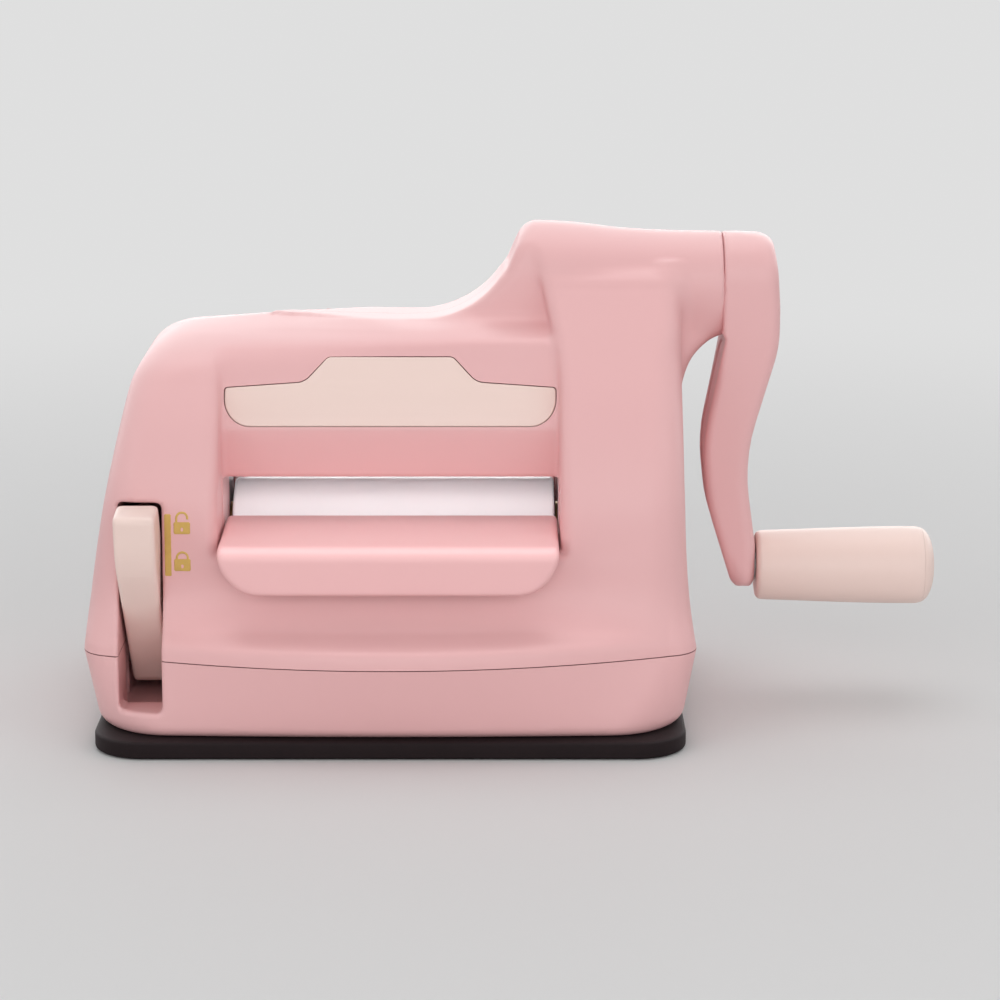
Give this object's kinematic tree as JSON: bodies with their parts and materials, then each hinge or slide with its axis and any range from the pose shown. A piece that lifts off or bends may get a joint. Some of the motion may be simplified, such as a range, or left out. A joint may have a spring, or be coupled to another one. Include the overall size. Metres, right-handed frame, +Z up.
{
  "type": "die cutting machine",
  "caption": "Small hand-cranked die cutting machine for paper craft: a crank turns geared rollers that press a plate stack through a slot, on a suction base locked by a side lever.",
  "frame": {"origin": "middle of the suction pad's underside, which rests on the table", "axes": "+X along the rollers towards the crank, -Y towards the front, where the suction lever is, +Z up from the table"},
  "size_m": [0.2007, 0.113, 0.1163],
  "materials": {
    "pink_shell": "satin pale pink moulding",
    "pink_inner": "matte deeper pink moulding",
    "cream_plastic": "satin cream moulding",
    "black_rubber": "matte black",
    "white_roller": "glossy white sleeve",
    "grey_plastic": "matte mid grey",
    "steel": "ground steel",
    "zinc_plate": "zinc-plated sheet",
    "bronze": "oiled bronze"
  },
  "bodies": {
    "machine_frame": {"suction_pad": "black_rubber", "lower_housing": "pink_shell", "front_housing": "pink_shell", "rear_housing": "pink_shell", "front_panel": "cream_plastic", "rear_panel": "cream_plastic", "front_tray": "pink_shell", "rear_tray": "pink_shell", "left_side_plate": "zinc_plate", "right_side_plate": "zinc_plate", "tie_rods": "steel", "tie_rod_nuts": "steel", "upper_left_bush": "bronze", "upper_right_bush": "bronze", "lower_left_bush": "bronze", "lower_right_bush": "bronze", "crank_inner_bush": "bronze", "crank_outer_bush": "bronze", "base_screws": "steel", "housing_screws": "steel", "plate_screws": "steel"},
    "crank": {"crank_shaft": "steel", "crank_pinion": "steel", "crank_spacer": "steel", "crank_arm": "pink_shell", "crank_back_cover": "pink_inner", "grip_pin": "steel"},
    "crank_grip": {"grip": "cream_plastic", "grip_cap": "cream_plastic"},
    "upper_roller_set": {"upper_roller": "white_roller", "upper_roller_shaft": "steel", "upper_shaft_rings": "steel", "upper_sync_gear": "grey_plastic", "drive_gear": "grey_plastic"},
    "lower_roller_set": {"lower_roller": "white_roller", "lower_roller_shaft": "steel", "lower_shaft_rings": "steel", "lower_sync_gear": "grey_plastic"},
    "suction_lever": {"lever": "cream_plastic", "lever_shaft": "steel", "suction_cam": "grey_plastic"},
    "suction_lift": {"suction_plunger": "grey_plastic", "suction_cup": "black_rubber"}
  },
  "joints": [
    {"name": "crank_turn", "type": "hinge", "parent": "machine_frame", "child": "crank", "pos_m": [0.08, 0, 0.10247], "axis": [1, 0, 0], "continuous": true},
    {"name": "grip_spin", "type": "hinge", "parent": "crank", "child": "crank_grip", "pos_m": [0.1, 0, 0.03257], "axis": [1, 0, 0], "continuous": true},
    {"name": "upper_roller_turn", "type": "hinge", "parent": "machine_frame", "child": "upper_roller_set", "pos_m": [0, 0, 0.0731], "axis": [1, 0, 0], "continuous": true},
    {"name": "lower_roller_turn", "type": "hinge", "parent": "machine_frame", "child": "lower_roller_set", "pos_m": [0, 0, 0.0406], "axis": [1, 0, 0], "continuous": true},
    {"name": "lever_swing", "type": "hinge", "parent": "machine_frame", "child": "suction_lever", "pos_m": [0, -0.016, 0.0162], "axis": [1, 0, 0], "range_deg": [0, 36]},
    {"name": "cup_lift", "type": "slide", "parent": "machine_frame", "child": "suction_lift", "axis": [0, 0, 1], "range_m": [0, 0.00112]}
  ],
  "couplings": [
    {"joint": "upper_roller_turn", "follows": "crank_turn", "ratio": -0.30556},
    {"joint": "lower_roller_turn", "follows": "crank_turn", "ratio": 0.30556},
    {"joint": "cup_lift", "follows": "lever_swing", "m_per_rad": 0.0017705}
  ]
}
